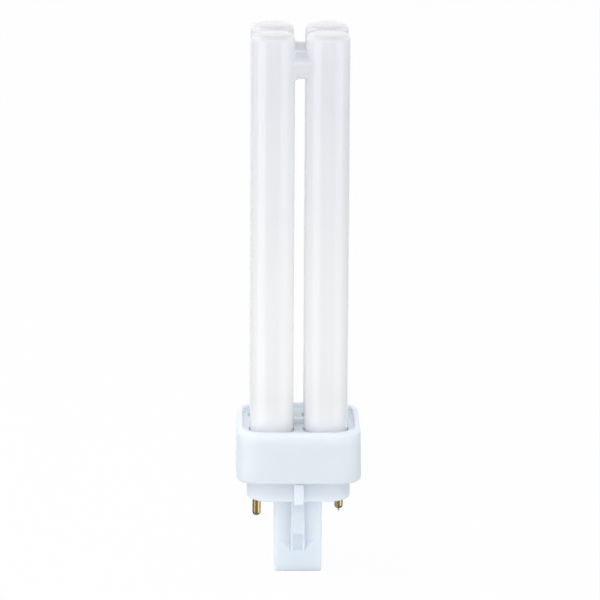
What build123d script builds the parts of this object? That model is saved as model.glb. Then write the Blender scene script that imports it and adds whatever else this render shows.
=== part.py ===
from build123d import *
import os
from math import asin, atan2, cos, degrees, radians, sin

# A two-pin plug-in lamp: four glass limbs, fused into one discharge tube, stand in
# a moulded tube holder. A plug cap closes the holder from below. It carries two
# brass contact pins and a hollow post, with the glow starter and its capacitor
# inside. The Z axis is the lamp's own axis. The origin is the middle of the flat end of
# the post, on which the lamp stands. X is the width in which the pins lie, and -Y is
# the front. All sizes are in millimetres.

# Overall sizes, which the lampholder and the fitting around the lamp need.
overall_height = 153.0
post_length = 22.7
stage_height = 5.7
holder_height = 14.7

# Glass discharge tube.
tube_dia = 12.0
tube_gap = 3.0
tube_shoulder = 1.7
tube_crown = 0.25
bridge_dia = 7.5
bridge_drop = 9.0
bridge_blend = 1.2
lower_bridge_rise = 5.4
pinch_width = 8.4
pinch_thickness = 3.0
pinch_height = 3.5
pinch_blend = 0.8
exhaust_dia = 3.2
exhaust_length = 3.0
dome_flat = 0.1
electrode_lead_pitch = 4.4

# Tube holder, the upper moulding.
holder_margin = 3.8
holder_wall = 1.8
holder_corner = 7.0
holder_draft_per_side = 0.25
holder_rim_fillet = 1.2
holder_foot_fillet = 1.0
recess_depth = 1.2
recess_corner = 7.0
recess_edge = 0.2
deck_thickness = 2.0
tube_hole_clearance = 0.3
rib_width = 3.0
rib_length = 20.0
cement_thickness = 3.0

# Plug cap, the lower moulding: stage, flange and post.
stage_step = 1.2
stage_corner = 7.0
stage_foot_fillet = 0.5
stage_wall = 1.2
stage_floor = 1.8
flange_lap = 0.3
flange_thickness = 1.5
flange_clearance = 0.1
key_width = 2.7
key_depth = 2.5
key_edge = 0.4
snap_width = 6.0
snap_thickness = 1.2
snap_height = 3.6
snap_barb = 0.6
snap_barb_height = 1.2
snap_gap = 0.1
snap_ledge_depth = 0.9
snap_ledge_height = 1.2

# Plug post and the catch on its front and back.
post_width = 13.4
post_depth = 10.9
post_corner = 0.7
post_draft = 0.35
post_foot_fillet = 0.5
post_floor = 1.4
post_side_wall = 1.3
pocket_wall = 1.5
pocket_side_land = 1.0
pocket_depth = 1.2
pocket_reach = 16.9
pocket_foot_rise = 4.0
pocket_foot_draft = 40
catch_width = 4.4
catch_neck_width = 3.7
catch_root = 2.2
catch_ridge_drop = 11.3
catch_ramp_step = 0.8
catch_draft = 20
window_width = 2.5
window_depth = 0.6
window_drop = 0.7

# Contact pins.
pin_dia = 2.35
pin_margin = 2.3
pin_offset = 3.35
pin_length = 6.8
pin_tip_radius = 0.9
pin_fit = 0.05
pin_bore = 1.2
pin_tip_wall = 1.2
pin_tip_clearance = 0.05
pin_collar_dia = 3.1
pin_collar_thickness = 0.6
pin_stub = 1.2
pin_stub_dia = 2.0
pin_shank_dia = 2.75
pin_boss_dia = 5.2
pin_boss_height = 0.8

# Glow starter, capacitor, lead wires and splices inside the cap.
starter_wall = 1.15
starter_clearance = 0.3
starter_length = 14.5
starter_foot_inset = 0.7
starter_foot_thickness = 1.6
starter_foot_height = 2.6
starter_lead_inset = 0.9
capacitor_width = 7.5
capacitor_height = 6.0
capacitor_edge = 0.6
capacitor_lead_pitch = 5.0
capacitor_gap = 0.6
capacitor_sleeve_gap = 0.5
wire_dia = 0.5
wire_end_gap = 0.3
trimmed_lead_length = 0.8
wire_bend = 0.7
lead_room = 6.5
splice_dia = 2.0
splice_bore = 1.5
splice_length = 4.0
splice_spread = 0.35
splice_x = 4.0
splice_height = 4.2
sleeve_wall = 0.35
sleeve_clearance = 0.05
sleeve_margin = 1.2

# Heights that follow from the sizes above.
seat_z = post_length
ledge_z = seat_z + stage_height
rim_z = ledge_z + holder_height
recess_z = rim_z - recess_depth
deck_z = recess_z - deck_thickness
cap_floor_z = seat_z + stage_floor
tip_z = seat_z - pin_length
pinch_z = cap_floor_z + lead_room
tube_foot_z = pinch_z + pinch_height
flange_top_z = ledge_z + flange_thickness
boss_top_z = cap_floor_z + pin_boss_height
upper_bridge_z = overall_height - bridge_drop
lower_bridge_z = rim_z + lower_bridge_rise
splice_z = cap_floor_z + splice_height

# Widths and places in plan, from the tube outwards and from the post inwards.
tube_radius = tube_dia / 2
tube_pitch = tube_dia + tube_gap
row = tube_pitch / 2
holder_width = tube_pitch + tube_dia + 2 * holder_margin
cavity_width = holder_width - 2 * holder_wall
cavity_corner = holder_corner - holder_wall
flange_width = cavity_width + 2 * flange_lap
stage_width = cavity_width - 2 * stage_step
pin_circle = stage_width - 2 * pin_margin
pin_x = (pin_circle ** 2 / 4 - pin_offset ** 2) ** 0.5
pocket_floor_y = post_depth / 2 - pocket_depth
pocket_half_width = post_width / 2 - pocket_side_land
post_bore_dia = 2 * (pocket_floor_y - starter_wall)
post_slot_depth = 2 * (pocket_floor_y - pocket_wall)
starter_dia = post_bore_dia - 2 * starter_clearance
starter_foot_width = starter_dia - 2 * starter_foot_inset
starter_lead_pitch = starter_foot_width - 2 * starter_lead_inset
sleeve_radius = wire_dia / 2 + sleeve_clearance + sleeve_wall
capacitor_front_y = post_slot_depth / 2 + capacitor_gap
capacitor_depth = row - sleeve_radius - capacitor_sleeve_gap - capacitor_front_y
capacitor_y = capacitor_front_y + capacitor_depth / 2


def rounded_block(width, corner, low, high, taper=0):
    """A square block with rounded corners between two heights."""
    outline = Pos(0, 0, low) * RectangleRounded(width, width, corner)
    return extrude(outline, amount=high - low, taper=taper)


def upright_cylinder(dia, low, high, x=0, y=0):
    """A cylinder along Z between two heights."""
    height = high - low
    return Pos(x, y, low + height / 2) * Cylinder(dia / 2, height)


def turned(profile_edges):
    """A solid turned about Z from a closed profile in the XZ plane."""
    face = Plane.XZ * make_face(profile_edges)
    return revolve(face, axis=Axis.Z)


def front_and_back(solid):
    """The solid at the front, and the same one turned half round."""
    return [solid, Rot(0, 0, 180) * solid]


def limb():
    """One straight glass limb with its rounded closed ends."""
    flat = tube_radius - tube_shoulder
    low = tube_foot_z
    crown_edge = overall_height - tube_crown
    crown_radius = (flat ** 2 + tube_crown ** 2) / (2 * tube_crown)
    crown_angle = degrees(asin(flat / crown_radius))
    profile = [
        Line((0, low), (flat, low)),
        CenterArc((flat, low + tube_shoulder), tube_shoulder, 270, 90),
        Line((tube_radius, low + tube_shoulder), (tube_radius, crown_edge - tube_shoulder)),
        CenterArc((flat, crown_edge - tube_shoulder), tube_shoulder, 0, 90),
        CenterArc((0, overall_height - crown_radius), crown_radius, 90 - crown_angle, crown_angle),
        Line((0, overall_height), (0, low)),
    ]
    return turned(profile)


def pinch_seal():
    """The flattened end of a limb that holds an electrode's two leads."""
    low = pinch_z
    high = tube_foot_z + tube_shoulder
    block = Pos(0, 0, (low + high) / 2) * Box(pinch_width, pinch_thickness, high - low)
    block = fillet(block.edges().filter_by(Axis.Z), pinch_blend)
    return fillet(block.edges().group_by(Axis.Z)[0], pinch_blend / 2)


def discharge_tube():
    """Four limbs, two upper bridges, one lower bridge and the sealed lower ends."""
    glass = Part()
    for x in (-row, row):
        for y in (-row, row):
            glass += Pos(x, y, 0) * limb()
    bridge_x = Rot(0, 90, 0) * Cylinder(bridge_dia / 2, tube_pitch)
    bridge_y = Rot(90, 0, 0) * Cylinder(bridge_dia / 2, tube_pitch)
    for y in (-row, row):
        glass += Pos(0, y, upper_bridge_z) * bridge_x
    glass += Pos(row, 0, lower_bridge_z) * bridge_y
    joints = [edge for edge in glass.edges() if is_bridge_joint(edge)]
    glass = fillet(joints, bridge_blend)
    for y in (-row, row):
        glass += Pos(-row, y, 0) * pinch_seal()
    tip = upright_cylinder(exhaust_dia, tube_foot_z - exhaust_length, tube_foot_z + tube_shoulder)
    tip = fillet(tip.edges().group_by(Axis.Z)[0], exhaust_dia / 2 - dome_flat)
    glass += Pos(row, -row, 0) * tip
    return glass


def is_bridge_joint(edge):
    """True for the curved edges where a bridge meets a limb."""
    place = edge.center()
    reach = bridge_dia / 2
    near_upper = abs(place.Z - upper_bridge_z) < reach and abs(place.X) < row
    near_lower = abs(place.Z - lower_bridge_z) < reach and abs(place.Y) < row
    return edge.geom_type != GeomType.LINE and (near_upper or near_lower)


def holder_block():
    """The holder's outside, drawn in a little towards the rim, with soft edges."""
    taper = degrees(atan2(holder_draft_per_side, holder_height))
    block = rounded_block(holder_width, holder_corner, ledge_z, rim_z, taper)
    block = fillet(block.edges().group_by(Axis.Z)[-1], holder_rim_fillet)
    return fillet(block.edges().group_by(Axis.Z)[0], holder_foot_fillet)


def snap_ledges():
    """Ledges on the holder's inner walls, under which the cap's barbs hook."""
    depth = snap_ledge_depth + holder_wall / 2
    x = cavity_width / 2 + holder_wall / 2 - depth / 2
    low = snap_ledge_z()
    ledge = Pos(x, 0, low + snap_ledge_height / 2) * Box(depth, snap_width, snap_ledge_height)
    return [Rot(0, 0, turn) * ledge for turn in range(0, 360, 90)]


def snap_ledge_z():
    """The height of a ledge's underside, just below the barbs."""
    return flange_top_z + snap_height - snap_barb_height - snap_gap - snap_ledge_height


def tube_holder():
    """The upper moulding: rim, recess, deck with four holes, and an open cavity below."""
    body = holder_block()
    body -= rounded_block(cavity_width, recess_corner, recess_z, rim_z)
    inner = body.edges().group_by(Axis.Z)[-1].filter_by(is_inside_rim)
    body = fillet(inner, recess_edge)
    body -= rounded_block(cavity_width, cavity_corner, ledge_z, deck_z)
    rebate = flange_width + 2 * flange_clearance
    body -= rounded_block(rebate, cavity_corner, ledge_z, flange_top_z)
    body += Pos(0, 0, (recess_z + rim_z) / 2) * Box(rib_length, rib_width, recess_depth)
    for ledge in snap_ledges():
        body += ledge
    for x in (-row, row):
        for y in (-row, row):
            hole_dia = tube_dia + 2 * tube_hole_clearance
            body -= upright_cylinder(hole_dia, deck_z, rim_z, x, y)
    return body


def is_inside_rim(edge):
    """True for the rim's inner edges."""
    return max(abs(edge.center().X), abs(edge.center().Y)) < cavity_width / 2 + recess_edge


def basing_cement():
    """The slab of cement under the deck that glues the limbs into the holder."""
    slab = rounded_block(cavity_width, cavity_corner, deck_z - cement_thickness, deck_z)
    for x in (-row, row):
        for y in (-row, row):
            slab -= upright_cylinder(tube_dia, deck_z - cement_thickness, deck_z, x, y)
    return slab


def stage_shell():
    """The cap's square stage with its flange, hollow from above."""
    corner = stage_corner
    stage = rounded_block(stage_width, corner, seat_z, ledge_z)
    stage = fillet(stage.edges().group_by(Axis.Z)[0], stage_foot_fillet)
    stage += rounded_block(flange_width, cavity_corner, ledge_z, flange_top_z)
    inside = stage_width - 2 * stage_wall
    stage -= rounded_block(inside, corner - stage_wall, cap_floor_z, flange_top_z)
    return stage


def key_rib():
    """The upright key on the front of the stage, flush with its foot."""
    y = -stage_width / 2 - key_depth / 2
    rib = Pos(0, y, (seat_z + ledge_z) / 2) * Box(key_width, key_depth, stage_height)
    front = rib.edges().filter_by(Axis.Z).group_by(Axis.Y)[0]
    return fillet(front, key_edge)


def snap_tongue():
    """One upright tongue with a barb that hooks over the holder's ledge."""
    outer = cavity_width / 2 - snap_ledge_depth - snap_gap
    inner = outer - snap_thickness
    top = flange_top_z + snap_height
    tip = outer + snap_barb
    barb_low = top - snap_barb_height
    profile = Polyline(
        (inner, flange_top_z),
        (outer, flange_top_z),
        (outer, barb_low),
        (tip, barb_low),
        (outer, top),
        (inner, top),
        close=True,
    )
    face = Plane.XZ * make_face(profile)
    return extrude(face, amount=snap_width / 2, both=True)


def pocket():
    """The recess in the front of the post, deepest beside the catch, with a pointed foot."""
    front_y = -post_depth / 2
    foot_z = seat_z - pocket_reach
    side_z = foot_z + pocket_foot_rise
    above = seat_z + pocket_depth
    half = catch_width / 2
    shield = Polyline(
        (-pocket_half_width, above),
        (-pocket_half_width, side_z),
        (-half, foot_z),
        (half, foot_z),
        (pocket_half_width, side_z),
        (pocket_half_width, above),
        close=True,
    )
    face = Plane.XZ.offset(-front_y) * make_face(shield)
    cut = extrude(face, amount=pocket_depth, dir=(0, 1, 0), taper=pocket_foot_draft)
    plan = Polyline(
        (-pocket_half_width, front_y),
        (-half, -pocket_floor_y),
        (half, -pocket_floor_y),
        (pocket_half_width, front_y),
        close=True,
    )
    return cut & extrude(make_face(plan), amount=above)


def catch():
    """The catch in a pocket, with drafted sides: root, ramp and ridge, and a shallow window."""
    front_y = -post_depth / 2
    ridge_z = seat_z - catch_ridge_drop
    root_z = seat_z - catch_root
    foot_z = seat_z - pocket_reach
    half = catch_width / 2
    neck = catch_neck_width / 2
    outline = Polyline(
        (-neck, seat_z + pocket_depth),
        (-neck, root_z),
        (-half, ridge_z),
        (-half, foot_z - pocket_depth),
        (half, foot_z - pocket_depth),
        (half, ridge_z),
        (neck, root_z),
        (neck, seat_z + pocket_depth),
        close=True,
    )
    face = Plane.XZ.offset(pocket_floor_y) * make_face(outline)
    block = extrude(face, amount=pocket_depth, taper=catch_draft)
    profile = Polyline(
        (-pocket_floor_y, seat_z),
        (front_y + catch_ramp_step, seat_z),
        (front_y + catch_ramp_step, root_z),
        (front_y, ridge_z),
        (front_y, foot_z),
        (-pocket_floor_y, foot_z),
        close=True,
    )
    block &= extrude(Plane.YZ * make_face(profile), amount=half, both=True)
    window_top = ridge_z - window_drop
    middle = (window_top + foot_z) / 2
    window = Box(window_width, 2 * window_depth, window_top - foot_z)
    return block - Pos(0, front_y, middle) * window


def post():
    """The hollow post below the stage, with a pocket and a catch front and back."""
    outline = Pos(0, 0, seat_z) * RectangleRounded(post_width, post_depth, post_corner)
    body = extrude(outline, amount=post_length, dir=(0, 0, -1), taper=post_draft)
    body = fillet(body.edges().group_by(Axis.Z)[0], post_foot_fillet)
    for cut in front_and_back(pocket()):
        body -= cut
    for part in front_and_back(catch()):
        body += part
    return body


def post_bore():
    """The slot and the round bore inside the post, open to the stage above."""
    slot_width = post_width - 2 * post_side_wall
    height = cap_floor_z - post_floor
    middle = (cap_floor_z + post_floor) / 2
    slot = Pos(0, 0, middle) * Box(slot_width, post_slot_depth, height)
    return slot + upright_cylinder(post_bore_dia, post_floor, cap_floor_z)


def plug_cap():
    """The lower moulding: stage, flange, keys, tongues, pin bosses and post."""
    body = stage_shell()
    for rib in front_and_back(key_rib()):
        body += rib
    for turn in range(0, 360, 90):
        body += Rot(0, 0, turn) * snap_tongue()
    for x, y in pin_places():
        body += upright_cylinder(pin_boss_dia, cap_floor_z, boss_top_z, x, y)
    body += post()
    body -= post_bore()
    for x, y in pin_places():
        hole_dia = pin_shank_dia + 2 * pin_fit
        body -= upright_cylinder(hole_dia, seat_z, boss_top_z, x, y)
    return body


def pin_places():
    """The two pins, left and right, half a turn apart on their circle."""
    return [(-pin_x, -pin_offset), (pin_x, pin_offset)]


def contact_pin():
    """A hollow turned pin: pierced round tip, shank in the cap, collar on the boss, stub."""
    radius = pin_dia / 2
    flat = radius - pin_tip_radius
    shank = pin_shank_dia / 2
    collar = pin_collar_dia / 2
    stub = pin_stub_dia / 2
    bore = pin_bore / 2
    hole = wire_dia / 2 + pin_tip_clearance
    collar_z = boss_top_z + pin_collar_thickness
    top_z = collar_z + pin_stub
    bore_z = tip_z + pin_tip_wall
    profile = [
        Line((hole, tip_z), (flat, tip_z)),
        CenterArc((flat, tip_z + pin_tip_radius), pin_tip_radius, 270, 90),
        Polyline(
            (radius, tip_z + pin_tip_radius),
            (radius, seat_z),
            (shank, seat_z),
            (shank, boss_top_z),
            (collar, boss_top_z),
            (collar, collar_z),
            (stub, collar_z),
            (stub, top_z),
            (bore, top_z),
            (bore, bore_z),
            (hole, bore_z),
            (hole, tip_z),
        ),
    ]
    return turned(profile)


def glow_starter():
    """The sealed glass starter bottle, dome down, with its flat foot on top."""
    low = post_floor + starter_clearance
    high = low + starter_length
    radius = starter_dia / 2
    glass = upright_cylinder(starter_dia, low, high)
    glass = fillet(glass.edges().group_by(Axis.Z)[0], radius - dome_flat)
    glass = fillet(glass.edges().group_by(Axis.Z)[-1], radius / 2)
    foot_top = starter_foot_top()
    middle = (high - radius / 2 + foot_top) / 2
    foot_size = (starter_foot_width, starter_foot_thickness, foot_top - high + radius / 2)
    foot = Pos(0, 0, middle) * Box(*foot_size)
    foot = fillet(foot.edges().filter_by(Axis.Z), starter_foot_thickness / 4)
    return glass + foot


def starter_foot_top():
    """The top of the starter's foot, where its leads come out."""
    return post_floor + starter_clearance + starter_length + starter_foot_height


def suppression_capacitor():
    """The small moulded capacitor that lies on the cap's floor behind the post."""
    middle = cap_floor_z + capacitor_height / 2
    body = Pos(0, capacitor_y, middle) * Box(capacitor_width, capacitor_depth, capacitor_height)
    return fillet(body.edges(), capacitor_edge)


def wire(points, bend=wire_bend):
    """A round wire along straight runs joined by arcs of one radius."""
    path = FilletPolyline(*points, radius=bend)
    section = Plane(origin=path @ 0, z_dir=path % 0) * Circle(wire_dia / 2)
    return sweep(section, path=path)


def splice_seat(side, slot):
    """Where one of the three wires of a splice lies in it: its X and its height."""
    angle = radians(90 + 120 * slot)
    x = side * splice_x + side * splice_spread * cos(angle)
    return x, splice_z + splice_spread * sin(angle)


def splice(side):
    """The crimped sleeve that joins three leads."""
    tube = Rot(90, 0, 0) * Cylinder(splice_dia / 2, splice_length)
    tube -= Rot(90, 0, 0) * Cylinder(splice_bore / 2, splice_length)
    return Pos(side * splice_x, 0, splice_z) * tube


def starter_lead(side):
    """From the starter's foot up and round into the back of its splice."""
    x0 = side * starter_lead_pitch / 2
    x1, z1 = splice_seat(side, 2)
    back = splice_length / 2 + 2 * wire_bend
    end = -splice_length / 2 + wire_end_gap
    low = starter_foot_top()
    turn_z = cap_floor_z + wire_bend
    points = [
        (x0, 0, low),
        (x0, 0, turn_z),
        (x1, back, turn_z + wire_bend),
        (x1, back, z1),
        (x1, end, z1),
    ]
    return wire(points)


def capacitor_lead(side):
    """From the capacitor's front straight into its splice."""
    x0 = side * capacitor_lead_pitch / 2
    x1, z1 = splice_seat(side, 1)
    end = -splice_length / 2 + wire_end_gap
    points = [
        (x0, capacitor_front_y, z1),
        (x0, capacitor_front_y - wire_bend, z1),
        (x1, splice_length / 2 + wire_bend / 2, z1),
        (x1, end, z1),
    ]
    return wire(points, wire_bend / 2)


def lead_start(y, side):
    """Where an electrode's lead leaves the pinch seal of a limb at the left."""
    return (-row + side * electrode_lead_pitch / 2, y, pinch_z)


def lead_into_pin(start, waypoints, pin, end):
    """A lead from a pinch seal, by its waypoints, down through a pin to a height."""
    x, y = pin
    over_pin = boss_top_z + pin_collar_thickness + pin_stub + 2 * wire_bend
    return wire([start, *waypoints, (x, y, over_pin), (x, y, end)])


def front_lead_to_pin():
    """The front electrode's outer lead, cut off just inside the tip of the left pin."""
    start = lead_start(-row, -1)
    below = (start[0], start[1], pinch_z - 2 * wire_bend)
    return lead_into_pin(start, [below], pin_places()[0], tip_z + wire_end_gap)


def front_lead_to_starter():
    """The front electrode's inner lead, to the left splice from the front."""
    start = lead_start(-row, 1)
    x, z = splice_seat(-1, 0)
    points = [
        start,
        (start[0], start[1], z),
        (x, -splice_length / 2 - 2 * wire_bend, z),
        (x, splice_length / 2 - wire_end_gap, z),
    ]
    return wire(points)


def long_run_y():
    """How far back the back electrode's lead to the right pin crosses the cap."""
    return row + electrode_lead_pitch / 2 + wire_dia


def back_lead_to_pin():
    """The back electrode's outer lead, behind the capacitor and out of the right pin's tip."""
    start = lead_start(row, -1)
    y = long_run_y()
    z = splice_z
    below = (start[0], start[1], pinch_z - 2 * wire_bend)
    near = (start[0] + 2 * wire_bend, y, z)
    far = (row + wire_bend, y, z)
    end = tip_z - trimmed_lead_length
    return lead_into_pin(start, [below, near, far], pin_places()[1], end)


def back_lead_to_starter():
    """The back electrode's inner lead, behind the capacitor to the right splice."""
    start = lead_start(row, 1)
    x, z = splice_seat(1, 0)
    run_z = pinch_z - 2 * wire_bend
    turn_x = capacitor_width / 2 + 2 * wire_bend
    points = [
        start,
        (start[0], start[1], run_z),
        (turn_x, start[1], run_z),
        (turn_x, capacitor_front_y, z),
        (x, splice_length / 2 + wire_bend / 2, z),
        (x, -splice_length / 2 + wire_end_gap, z),
    ]
    return wire(points, wire_bend / 2)


def sleeve(x_low, x_high, y, z):
    """An insulating sleeve around a lead's straight run along X."""
    length = x_high - x_low
    tube = Cylinder(sleeve_radius, length) - Cylinder(sleeve_radius - sleeve_wall, length)
    return Pos((x_low + x_high) / 2, y, z) * Rot(0, 90, 0) * tube


def sleeve_on_long_lead():
    """The sleeve on the lead to the right pin."""
    low = lead_start(row, -1)[0] + 2 * wire_bend + sleeve_margin
    return sleeve(low, row + wire_bend - sleeve_margin, long_run_y(), splice_z)


def sleeve_on_short_lead():
    """The sleeve on the lead to the right splice."""
    low = lead_start(row, 1)[0] + sleeve_margin
    high = capacitor_width / 2 + 2 * wire_bend - sleeve_margin
    return sleeve(low, high, row, pinch_z - 2 * wire_bend)


def lamp():
    """Every piece of the lamp by its name."""
    pins = pin_places()
    return {
        "discharge_tube": discharge_tube(),
        "tube_holder": tube_holder(),
        "plug_cap": plug_cap(),
        "basing_cement": basing_cement(),
        "contact_pin_left": Pos(*pins[0], 0) * contact_pin(),
        "contact_pin_right": Pos(*pins[1], 0) * contact_pin(),
        "glow_starter": glow_starter(),
        "starter_lead_left": starter_lead(-1),
        "starter_lead_right": starter_lead(1),
        "suppression_capacitor": suppression_capacitor(),
        "capacitor_lead_left": capacitor_lead(-1),
        "capacitor_lead_right": capacitor_lead(1),
        "splice_left": splice(-1),
        "splice_right": splice(1),
        "front_lead_to_pin": front_lead_to_pin(),
        "front_lead_to_starter": front_lead_to_starter(),
        "back_lead_to_pin": back_lead_to_pin(),
        "back_lead_to_starter": back_lead_to_starter(),
        "sleeve_on_long_lead": sleeve_on_long_lead(),
        "sleeve_on_short_lead": sleeve_on_short_lead(),
    }


os.makedirs("parts", exist_ok=True)
for name, solid in lamp().items():
    export_step(solid, f"parts/{name}.step")
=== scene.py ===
"""Studio view of a plug-in compact fluorescent lamp, standing on its plug post."""
import math

import bpy
from mathutils import Matrix, Vector


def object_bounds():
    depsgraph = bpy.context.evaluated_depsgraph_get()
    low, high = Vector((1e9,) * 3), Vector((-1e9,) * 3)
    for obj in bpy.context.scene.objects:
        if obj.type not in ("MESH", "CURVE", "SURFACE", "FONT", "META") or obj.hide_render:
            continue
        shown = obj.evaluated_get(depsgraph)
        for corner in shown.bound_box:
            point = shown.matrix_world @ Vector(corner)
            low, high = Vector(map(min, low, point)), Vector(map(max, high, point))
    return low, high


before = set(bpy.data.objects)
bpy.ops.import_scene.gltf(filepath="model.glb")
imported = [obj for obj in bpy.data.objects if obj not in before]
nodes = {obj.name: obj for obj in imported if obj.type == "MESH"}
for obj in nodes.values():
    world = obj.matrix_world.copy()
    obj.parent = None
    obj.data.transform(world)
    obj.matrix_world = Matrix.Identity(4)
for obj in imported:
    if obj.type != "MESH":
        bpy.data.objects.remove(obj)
cad_low, cad_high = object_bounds()

MM = 0.001
WHITE = (1, 1, 1, 1)

# Camera, as fitted to the photograph. Its angles are in degrees, its lens and sensor in
# millimetres, and it shows what lies between the clip distances.
CAMERA_TARGET = Vector((0.33, 0.0, 76.71)) * MM
CAMERA_DISTANCE = 1145.7 * MM
CAMERA_ELEVATION = 13.71
CAMERA_AZIMUTH = -1.20
CAMERA_ROLL = 0.32
CAMERA_LENS = 248.8
SENSOR_WIDTH = 36.0
CLIP_START = 0.05
CLIP_END = 50

# Studio light: a soft world, two soft boxes, and two low cards whose light shows mainly as
# the upright bands on the tubes. Angles are in degrees, with azimuth 0 in front of the lamp,
# distances and sizes are in metres, and powers are in watts.
WORLD_LIGHT = 0.86
WORLD_TINT = (0.965, 0.984, 1.0, 1)
BOX_TINT = (1.0, 0.985, 0.96)
SOFT_BOXES = {
    "left_box": {
        "azimuth": -92, "elevation": 42, "distance": 1.0, "size": (0.6, 0.6), "power": 1.5,
    },
    "front_box": {
        "azimuth": -10, "elevation": 23, "distance": 1.6, "size": (1.2, 0.8), "power": 3.8,
    },
    "left_card": {
        "azimuth": -60, "elevation": -8, "distance": 0.7, "size": (0.56, 0.3), "power": 0.98,
    },
    "right_card": {
        "azimuth": 62, "elevation": -13, "distance": 0.7, "size": (0.56, 0.36), "power": 1.06,
    },
}

# How bright the world is in mirrored rays, by where they go: overhead, above the horizon and
# the same behind the lamp, and below the horizon in front of it, at its sides and behind it.
MIRRORED_OVERHEAD = 0.3
MIRRORED_ABOVE = 0.95
MIRRORED_ABOVE_BEHIND = 1.2
MIRRORED_FRONT = 0.3
MIRRORED_SIDES = 0.1
MIRRORED_BEHIND = 0.9

# Where these parts run into each other. A ray's direction has a height (Z) and a depth (Y)
# from -1 to 1. Below the horizon the brightness changes in steps over the whole depth, with
# each step at a share of it.
HORIZON = (-0.05, 0.15)
OVERHEAD = (0.6, 0.85)
BEHIND = (0.1, 0.4)
WHOLE_DEPTH = (-1.0, 1.0)
STEPS_BELOW = (
    (0.45, MIRRORED_FRONT),
    (0.58, MIRRORED_SIDES),
    (0.85, MIRRORED_SIDES),
    (0.95, MIRRORED_BEHIND),
)

# Floor: its size in metres, its colour under the light, and how white it looks when seen.
FLOOR_SIZE = 12.0
FLOOR_COLOUR = (0.9, 0.9, 0.905, 1)
FLOOR_WHITENESS = 0.94

# Noise scales are per metre. The colour drifts between its two ends over the middle of the
# noise, and the grain is as fine on every material.
NOISE_DETAIL = 2.0
DRIFT_ENDS = (0.3, 0.7)
GRAIN = 2500.0

# The tubes' white coating and the glass over it. The light that enters spreads over
# GLASS_SPREAD, and a share passes right through the wall: less of it at the tubes' feet,
# just above the holder's rim, than further up.
GLASS_IOR = 1.5
GLASS_GLOSS = 0.15
GLASS_SPREAD = 8 * MM
GLASS_THROUGH = 0.35
FOOT_THROUGH = 0.05
COATING_ROUGHNESS = 0.5
COATING_DRIFT = 40.0
COATING_VARIES = 0.006

# The coating's colour at the feet, painted lighter there to stand in for light where the
# holder's rim shades them (painted light), the tint that brings it back to its own colour
# above them, and the darker, bluer tint painted towards the tops as shade (painted shade),
# with the heights between which it does so.
COATING_PAINTED_LIGHTER_AT_FOOT = (0.985, 0.988, 0.992)
COATING_ALONG = (0.944, 0.941, 0.932)
COATING_PAINTED_SHADE_AT_TOP = (0.865, 0.872, 0.915)
FOOT = (44 * MM, 51 * MM)
TOP = (60 * MM, 150 * MM)

# Light of all colours spreads alike inside the coating and the plastic.
EVENLY = (1.0, 1.0, 1.0)

# Satin white plastic that lets a little light through.
PLASTIC = {
    "roughness": 0.35, "varies": 0.006, "grain_strength": 0.08, "IOR": 1.5,
    "Subsurface Weight": 0.6, "Subsurface Radius": EVENLY, "Subsurface Scale": 4 * MM,
}

# Plain finishes: the nodes that they dress, and what plain_finish needs to know. Those after
# the brass are for the pieces that the cap hides.
FINISHES = {
    # The holder is the same plastic as the cap, painted slightly lighter to stand in for the
    # light on it (painted light).
    "holder_plastic_painted_lighter": (["tube_holder"], {"colour": (0.802, 0.872, 0.976), **PLASTIC}),
    "cap_plastic": (["plug_cap"], {"colour": (0.79, 0.866, 0.975), **PLASTIC}),
    "brass": (
        ["contact_pin_left", "contact_pin_right"],
        {"colour": (0.585, 0.435, 0.225), "roughness": 0.22, "Metallic": 1.0},
    ),
    "cement": (
        ["basing_cement"],
        {"colour": (0.76, 0.72, 0.64), "roughness": 0.9, "varies": 0.06, "drift": 500.0,
         "grain_strength": 0.5, "grain_depth": 0.1 * MM},
    ),
    "clear_glass": (
        ["glow_starter"],
        {"colour": (0.93, 0.97, 0.95), "roughness": 0.05, "grain_strength": 0.02,
         "IOR": 1.5, "Transmission Weight": 0.9},
    ),
    "dipped_capacitor": (
        ["suppression_capacitor"],
        {"colour": (0.52, 0.2, 0.06), "roughness": 0.35, "varies": 0.05, "drift": 400.0},
    ),
    "tinned_wire": (
        ["capacitor_lead_left", "capacitor_lead_right",
         "starter_lead_left", "starter_lead_right",
         "front_lead_to_pin", "back_lead_to_pin",
         "front_lead_to_starter", "back_lead_to_starter"],
        {"colour": (0.7, 0.69, 0.66), "roughness": 0.32, "varies": 0.03, "drift": 800.0,
         "Metallic": 1.0},
    ),
    "plated_splice": (
        ["splice_left", "splice_right"],
        {"colour": (0.6, 0.58, 0.53), "roughness": 0.4, "varies": 0.03, "drift": 600.0,
         "Metallic": 1.0},
    ),
}

# Sleeving of woven glass fibre on the long leads.
SLEEVING_COLOUR = (0.84, 0.81, 0.73)
SLEEVING_ROUGHNESS = 0.8
SLEEVING_DRIFT = 300.0
SLEEVING_VARIES = 0.04
WEAVE_SCALE = 900.0
WEAVE_DISTORTION = 0.4
WEAVE_STRENGTH = 0.6
WEAVE_DEPTH = 0.05 * MM


def direction_at(azimuth, elevation):
    """The direction from the lamp at an azimuth and elevation in degrees."""
    azimuth = math.radians(azimuth)
    elevation = math.radians(elevation)
    return Vector((
        math.sin(azimuth) * math.cos(elevation),
        -math.cos(azimuth) * math.cos(elevation),
        math.sin(elevation),
    ))


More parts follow.
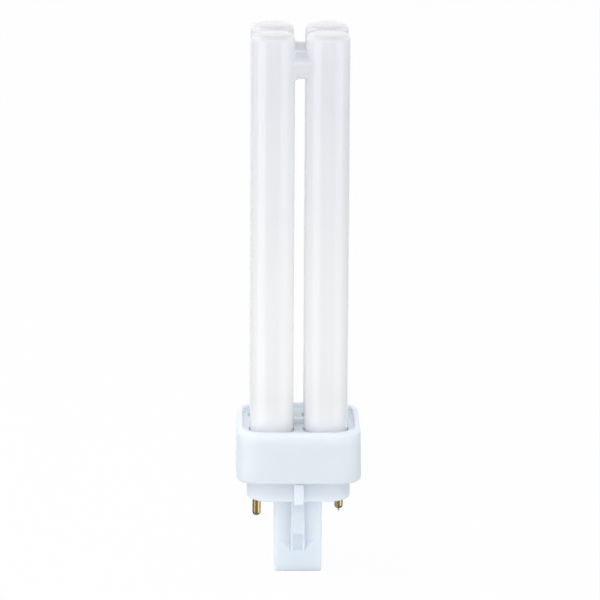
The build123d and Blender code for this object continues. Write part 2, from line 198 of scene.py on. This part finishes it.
def make_camera():
    """The camera at the photograph's viewing angle."""
    back = direction_at(CAMERA_AZIMUTH, CAMERA_ELEVATION)
    roll = math.radians(CAMERA_ROLL)
    right = (-back).cross(Vector((0, 0, 1))).normalized()
    up = right.cross(-back)
    image_right = math.cos(roll) * right + math.sin(roll) * up
    image_up = -math.sin(roll) * right + math.cos(roll) * up
    data = bpy.data.cameras.new("camera")
    data.lens = CAMERA_LENS
    data.sensor_width = SENSOR_WIDTH
    data.clip_start = CLIP_START
    data.clip_end = CLIP_END
    camera = bpy.data.objects.new("camera", data)
    place = Matrix.Translation(CAMERA_TARGET + CAMERA_DISTANCE * back)
    turn = Matrix((image_right, image_up, back)).transposed()
    camera.matrix_world = place @ turn.to_4x4()
    bpy.context.scene.collection.objects.link(camera)
    bpy.context.scene.camera = camera


def add_node(tree, kind, **values):
    """A node of that kind. Each value goes to the input or attribute of its name, and a
    value that is a socket is linked."""
    node = tree.nodes.new(kind)
    for key, value in values.items():
        if key not in node.inputs:
            setattr(node, key, value)
        elif isinstance(value, bpy.types.NodeSocket):
            tree.links.new(value, node.inputs[key])
        else:
            node.inputs[key].default_value = value
    return node


def mixed(tree, share, first, second):
    """A shader that is the first, with a share of the second."""
    node = add_node(tree, "ShaderNodeMixShader", Fac=share)
    tree.links.new(first.outputs[0], node.inputs[1])
    tree.links.new(second.outputs[0], node.inputs[2])
    return node


def combined(tree, operation, first, second):
    """Two values put together by a Math operation. The second may be a plain number."""
    node = add_node(tree, "ShaderNodeMath", operation=operation)
    tree.links.new(first, node.inputs[0])
    if isinstance(second, bpy.types.NodeSocket):
        tree.links.new(second, node.inputs[1])
    else:
        node.inputs[1].default_value = second
    return node.outputs[0]


def ranged(tree, value, between, low=0.0, high=1.0):
    """A value that goes from low to high while another goes between two numbers."""
    node = add_node(tree, "ShaderNodeMapRange", Value=value, **{
        "From Min": between[0], "From Max": between[1], "To Min": low, "To Max": high})
    return node.outputs["Result"]


def seen_directly(tree):
    """One in rays from the camera and in those let through glass, and zero in the others."""
    path = tree.nodes.new("ShaderNodeLightPath").outputs
    return combined(tree, "MAXIMUM", path["Is Camera Ray"], path["Is Transmission Ray"])


def mirrored_strength(tree):
    """The world's strength in mirrored rays, from the direction they go."""
    direction = tree.nodes.new("ShaderNodeTexCoord").outputs["Generated"]
    parts = add_node(tree, "ShaderNodeSeparateXYZ", Vector=direction)
    height, depth = parts.outputs["Z"], parts.outputs["Y"]
    below = add_node(tree, "ShaderNodeValToRGB", Fac=ranged(tree, depth, WHOLE_DEPTH))
    steps = below.color_ramp.elements
    for position, _ in STEPS_BELOW[1:-1]:
        steps.new(position)
    for step, (position, level) in zip(steps, STEPS_BELOW):
        step.position = position
        step.color = (level, level, level, 1)
    above = ranged(tree, depth, BEHIND, MIRRORED_ABOVE, MIRRORED_ABOVE_BEHIND)
    upwards = ranged(tree, height, HORIZON, below.outputs["Color"], above)
    return ranged(tree, height, OVERHEAD, upwards, MIRRORED_OVERHEAD)


def make_world():
    """White where it is seen, graded where it is mirrored, and otherwise a soft light."""
    world = bpy.data.worlds.new("studio")
    bpy.context.scene.world = world
    world.use_nodes = True
    tree = world.node_tree
    tree.nodes.clear()
    path = tree.nodes.new("ShaderNodeLightPath").outputs
    light = add_node(tree, "ShaderNodeBackground", Color=WORLD_TINT, Strength=WORLD_LIGHT)
    mirrored = add_node(
        tree, "ShaderNodeBackground", Color=WHITE, Strength=mirrored_strength(tree))
    white = add_node(tree, "ShaderNodeBackground", Color=WHITE, Strength=1.0)
    lighting = mixed(tree, path["Is Glossy Ray"], light, mirrored)
    surface = mixed(tree, seen_directly(tree), lighting, white)
    add_node(tree, "ShaderNodeOutputWorld", Surface=surface.outputs[0])


def make_soft_box(name, azimuth, elevation, distance, size, power):
    """A rectangular soft light aimed at the middle of the lamp."""
    data = bpy.data.lights.new(name, "AREA")
    data.shape = "RECTANGLE"
    data.size, data.size_y = size
    data.energy = power
    data.color = BOX_TINT
    light = bpy.data.objects.new(name, data)
    back = direction_at(azimuth, elevation)
    middle = (Vector(cad_low) + Vector(cad_high)) / 2
    light.location = middle + back * distance
    light.rotation_mode = "QUATERNION"
    light.rotation_quaternion = (-back).to_track_quat("-Z", "Y")
    light.visible_camera = False
    bpy.context.scene.collection.objects.link(light)


def new_material(name):
    """An empty node material and its tree."""
    material = bpy.data.materials.new(name)
    material.use_nodes = True
    material.node_tree.nodes.clear()
    return material, material.node_tree


def finished(material, surface):
    """The material, with that shader as its surface."""
    add_node(material.node_tree, "ShaderNodeOutputMaterial", Surface=surface.outputs[0])
    return material


def make_floor():
    """A plain pale floor that shows white and keeps the lamp's soft shadow. Reflections
    leave it out."""
    half = FLOOR_SIZE / 2
    mesh = bpy.data.meshes.new("floor")
    corners = [(-half, -half, 0), (half, -half, 0), (half, half, 0), (-half, half, 0)]
    mesh.from_pydata(corners, [], [(0, 1, 2, 3)])
    floor = bpy.data.objects.new("floor", mesh)
    bpy.context.scene.collection.objects.link(floor)
    material, tree = new_material("floor_white")
    matt = add_node(tree, "ShaderNodeBsdfDiffuse", Color=FLOOR_COLOUR)
    glow = add_node(tree, "ShaderNodeEmission", Color=WHITE, Strength=1.0)
    whiteness = combined(tree, "MULTIPLY", seen_directly(tree), FLOOR_WHITENESS)
    mesh.materials.append(finished(material, mixed(tree, whiteness, matt, glow)))
    floor.visible_glossy = False


def own_place(tree):
    """The place on the object, in metres."""
    return tree.nodes.new("ShaderNodeTexCoord").outputs["Object"]


def noise_at(tree, scale):
    """A noise over the object, at a scale per metre."""
    noise = add_node(
        tree, "ShaderNodeTexNoise", Vector=own_place(tree), Scale=scale, Detail=NOISE_DETAIL)
    return noise.outputs["Fac"]


def by_height(tree, heights, low, high):
    """A value that goes from low to high between two heights."""
    parts = add_node(tree, "ShaderNodeSeparateXYZ", Vector=own_place(tree))
    return ranged(tree, parts.outputs["Z"], heights, low, high)


def tinted_upwards(tree, colour, heights, tint):
    """A colour that takes on a tint between two heights."""
    share = by_height(tree, heights, 0.0, 1.0)
    mix = add_node(tree, "ShaderNodeMixRGB", blend_type="MULTIPLY", Fac=share,
                   Color1=colour, Color2=(*tint, 1))
    return mix.outputs[0]


def drifting(tree, scale, colour, varies):
    """A colour that varies by a share of itself, with a noise at a scale per metre."""
    ramp = add_node(tree, "ShaderNodeValToRGB", Fac=noise_at(tree, scale))
    for end, position, factor in zip(
            ramp.color_ramp.elements, DRIFT_ENDS, (1 - varies, 1 + varies)):
        end.position = position
        end.color = (*(min(channel * factor, 1) for channel in colour), 1)
    return ramp.outputs["Color"]


def bumped(tree, height, strength, depth):
    """A bump from a height between 0 and 1, with its depth in metres."""
    bump = add_node(tree, "ShaderNodeBump", Height=height, Strength=strength, Distance=depth)
    return bump.outputs["Normal"]


def plain_finish(name, colour, roughness, varies=0.01, drift=60.0, grain_strength=0.1,
                 grain_depth=0.02 * MM, **shader):
    """A Principled material with a slow drift of colour and a fine grain."""
    material, tree = new_material(name)
    surface = add_node(tree, "ShaderNodeBsdfPrincipled", Roughness=roughness, **{
        "Base Color": drifting(tree, drift, colour, varies),
        "Normal": bumped(tree, noise_at(tree, GRAIN), grain_strength, grain_depth),
        **shader})
    return finished(material, surface)


def coated_glass():
    """White coated glass: smooth outside, and some light passes right through the tube.

    The coating has no gloss of its own, because the glass over it adds that. The tube is a
    filled solid that stands for a thin wall, so light from inside passes out unchanged."""
    material, tree = new_material("coated_glass")
    # Painted light and shade: the coating is painted lighter at the feet, then darker and
    # bluer towards the tops.
    colour = drifting(tree, COATING_DRIFT, COATING_PAINTED_LIGHTER_AT_FOOT, COATING_VARIES)
    colour = tinted_upwards(tree, colour, FOOT, COATING_ALONG)
    colour = tinted_upwards(tree, colour, TOP, COATING_PAINTED_SHADE_AT_TOP)
    coating = add_node(tree, "ShaderNodeBsdfPrincipled", **{
        "Base Color": colour, "Roughness": COATING_ROUGHNESS, "IOR": GLASS_IOR,
        "Specular IOR Level": 0.0, "Subsurface Weight": 1.0, "Subsurface Radius": EVENLY,
        "Subsurface Scale": GLASS_SPREAD})
    through = add_node(tree, "ShaderNodeBsdfTranslucent", Color=colour)
    through_share = by_height(tree, FOOT, FOOT_THROUGH, GLASS_THROUGH)
    coat = mixed(tree, through_share, coating, through)
    gloss = add_node(tree, "ShaderNodeBsdfGlossy", Color=WHITE, Roughness=GLASS_GLOSS)
    fresnel = add_node(tree, "ShaderNodeFresnel", IOR=GLASS_IOR)
    polished = mixed(tree, fresnel.outputs[0], coat, gloss)
    side = tree.nodes.new("ShaderNodeNewGeometry")
    clear = tree.nodes.new("ShaderNodeBsdfTransparent")
    return finished(material, mixed(tree, side.outputs["Backfacing"], polished, clear))


def woven_sleeving():
    """Pale woven glass-fibre sleeving, its weave made by two crossed waves."""
    material, tree = new_material("woven_sleeving")
    place = own_place(tree)
    waves = [
        add_node(tree, "ShaderNodeTexWave", Vector=place, Scale=WEAVE_SCALE,
                 Distortion=WEAVE_DISTORTION, bands_direction=direction).outputs["Fac"]
        for direction in ("X", "Z")
    ]
    weave = combined(tree, "MULTIPLY", *waves)
    surface = add_node(tree, "ShaderNodeBsdfPrincipled", Roughness=SLEEVING_ROUGHNESS, **{
        "Base Color": drifting(tree, SLEEVING_DRIFT, SLEEVING_COLOUR, SLEEVING_VARIES),
        "Normal": bumped(tree, weave, WEAVE_STRENGTH, WEAVE_DEPTH)})
    return finished(material, surface)


def dress(node_names, material):
    """Gives CAD nodes a material in all their slots."""
    for name in node_names:
        mesh = nodes[name].data
        if not mesh.materials:
            mesh.materials.append(material)
        for index in range(len(mesh.materials)):
            mesh.materials[index] = material


make_camera()
make_world()
for name, box in SOFT_BOXES.items():
    make_soft_box(name, **box)
make_floor()

dress(["discharge_tube"], coated_glass())
for name, (node_names, values) in FINISHES.items():
    dress(node_names, plain_finish(name, **values))
dress(["sleeve_on_long_lead", "sleeve_on_short_lead"], woven_sleeving())

scene = bpy.context.scene
scene.view_settings.view_transform = "Standard"
